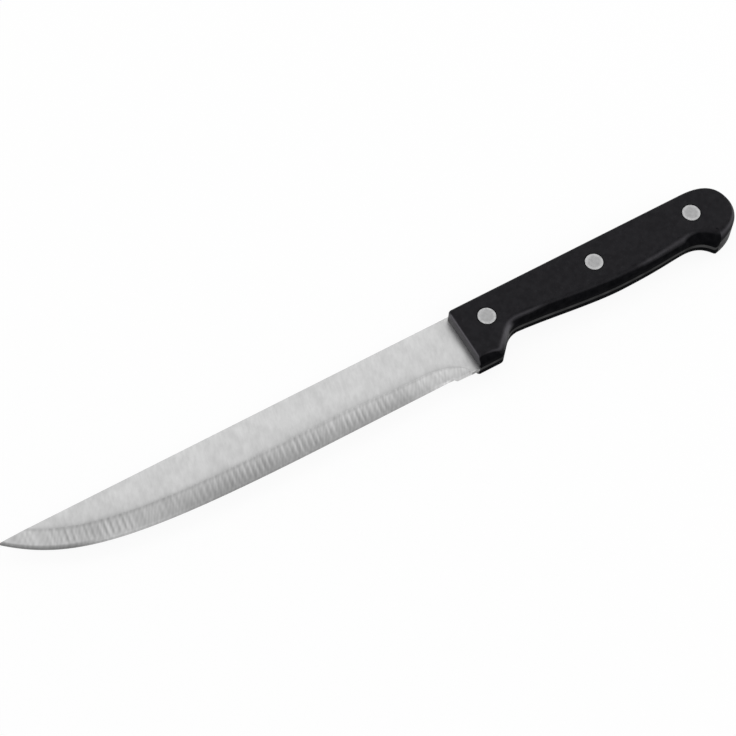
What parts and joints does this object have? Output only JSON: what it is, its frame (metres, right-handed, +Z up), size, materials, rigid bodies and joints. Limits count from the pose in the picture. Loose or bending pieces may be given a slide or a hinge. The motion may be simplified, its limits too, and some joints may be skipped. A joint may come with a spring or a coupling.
{
  "type": "kitchen knife",
  "caption": "Full-tang carving knife with a swept blade, a fluted ground bevel and black moulded scales held to the tang by flush rivets.",
  "frame": {"origin": "under the middle of the knife's bounding box, on the surface that it lies on", "axes": "+X from the blade's tip to the butt of the handle, +Y from the cutting edge to the spine, +Z up through the thickness of the handle as the knife lies on its side"},
  "size_m": [0.32, 0.0256, 0.0126],
  "materials": {
    "steel": "satin cross-ground stainless steel",
    "black_plastic": "black moulded plastic, semi-matt with softly rounded edges",
    "rivet_metal": "light grey aluminium, ground flush and satin"
  },
  "bodies": {
    "root": {"blade": "steel", "left_scale": "black_plastic", "right_scale": "black_plastic", "front_rivet_socket": "rivet_metal", "front_rivet_pin": "rivet_metal", "middle_rivet_socket": "rivet_metal", "middle_rivet_pin": "rivet_metal", "rear_rivet_socket": "rivet_metal", "rear_rivet_pin": "rivet_metal"}
  },
  "joints": []
}
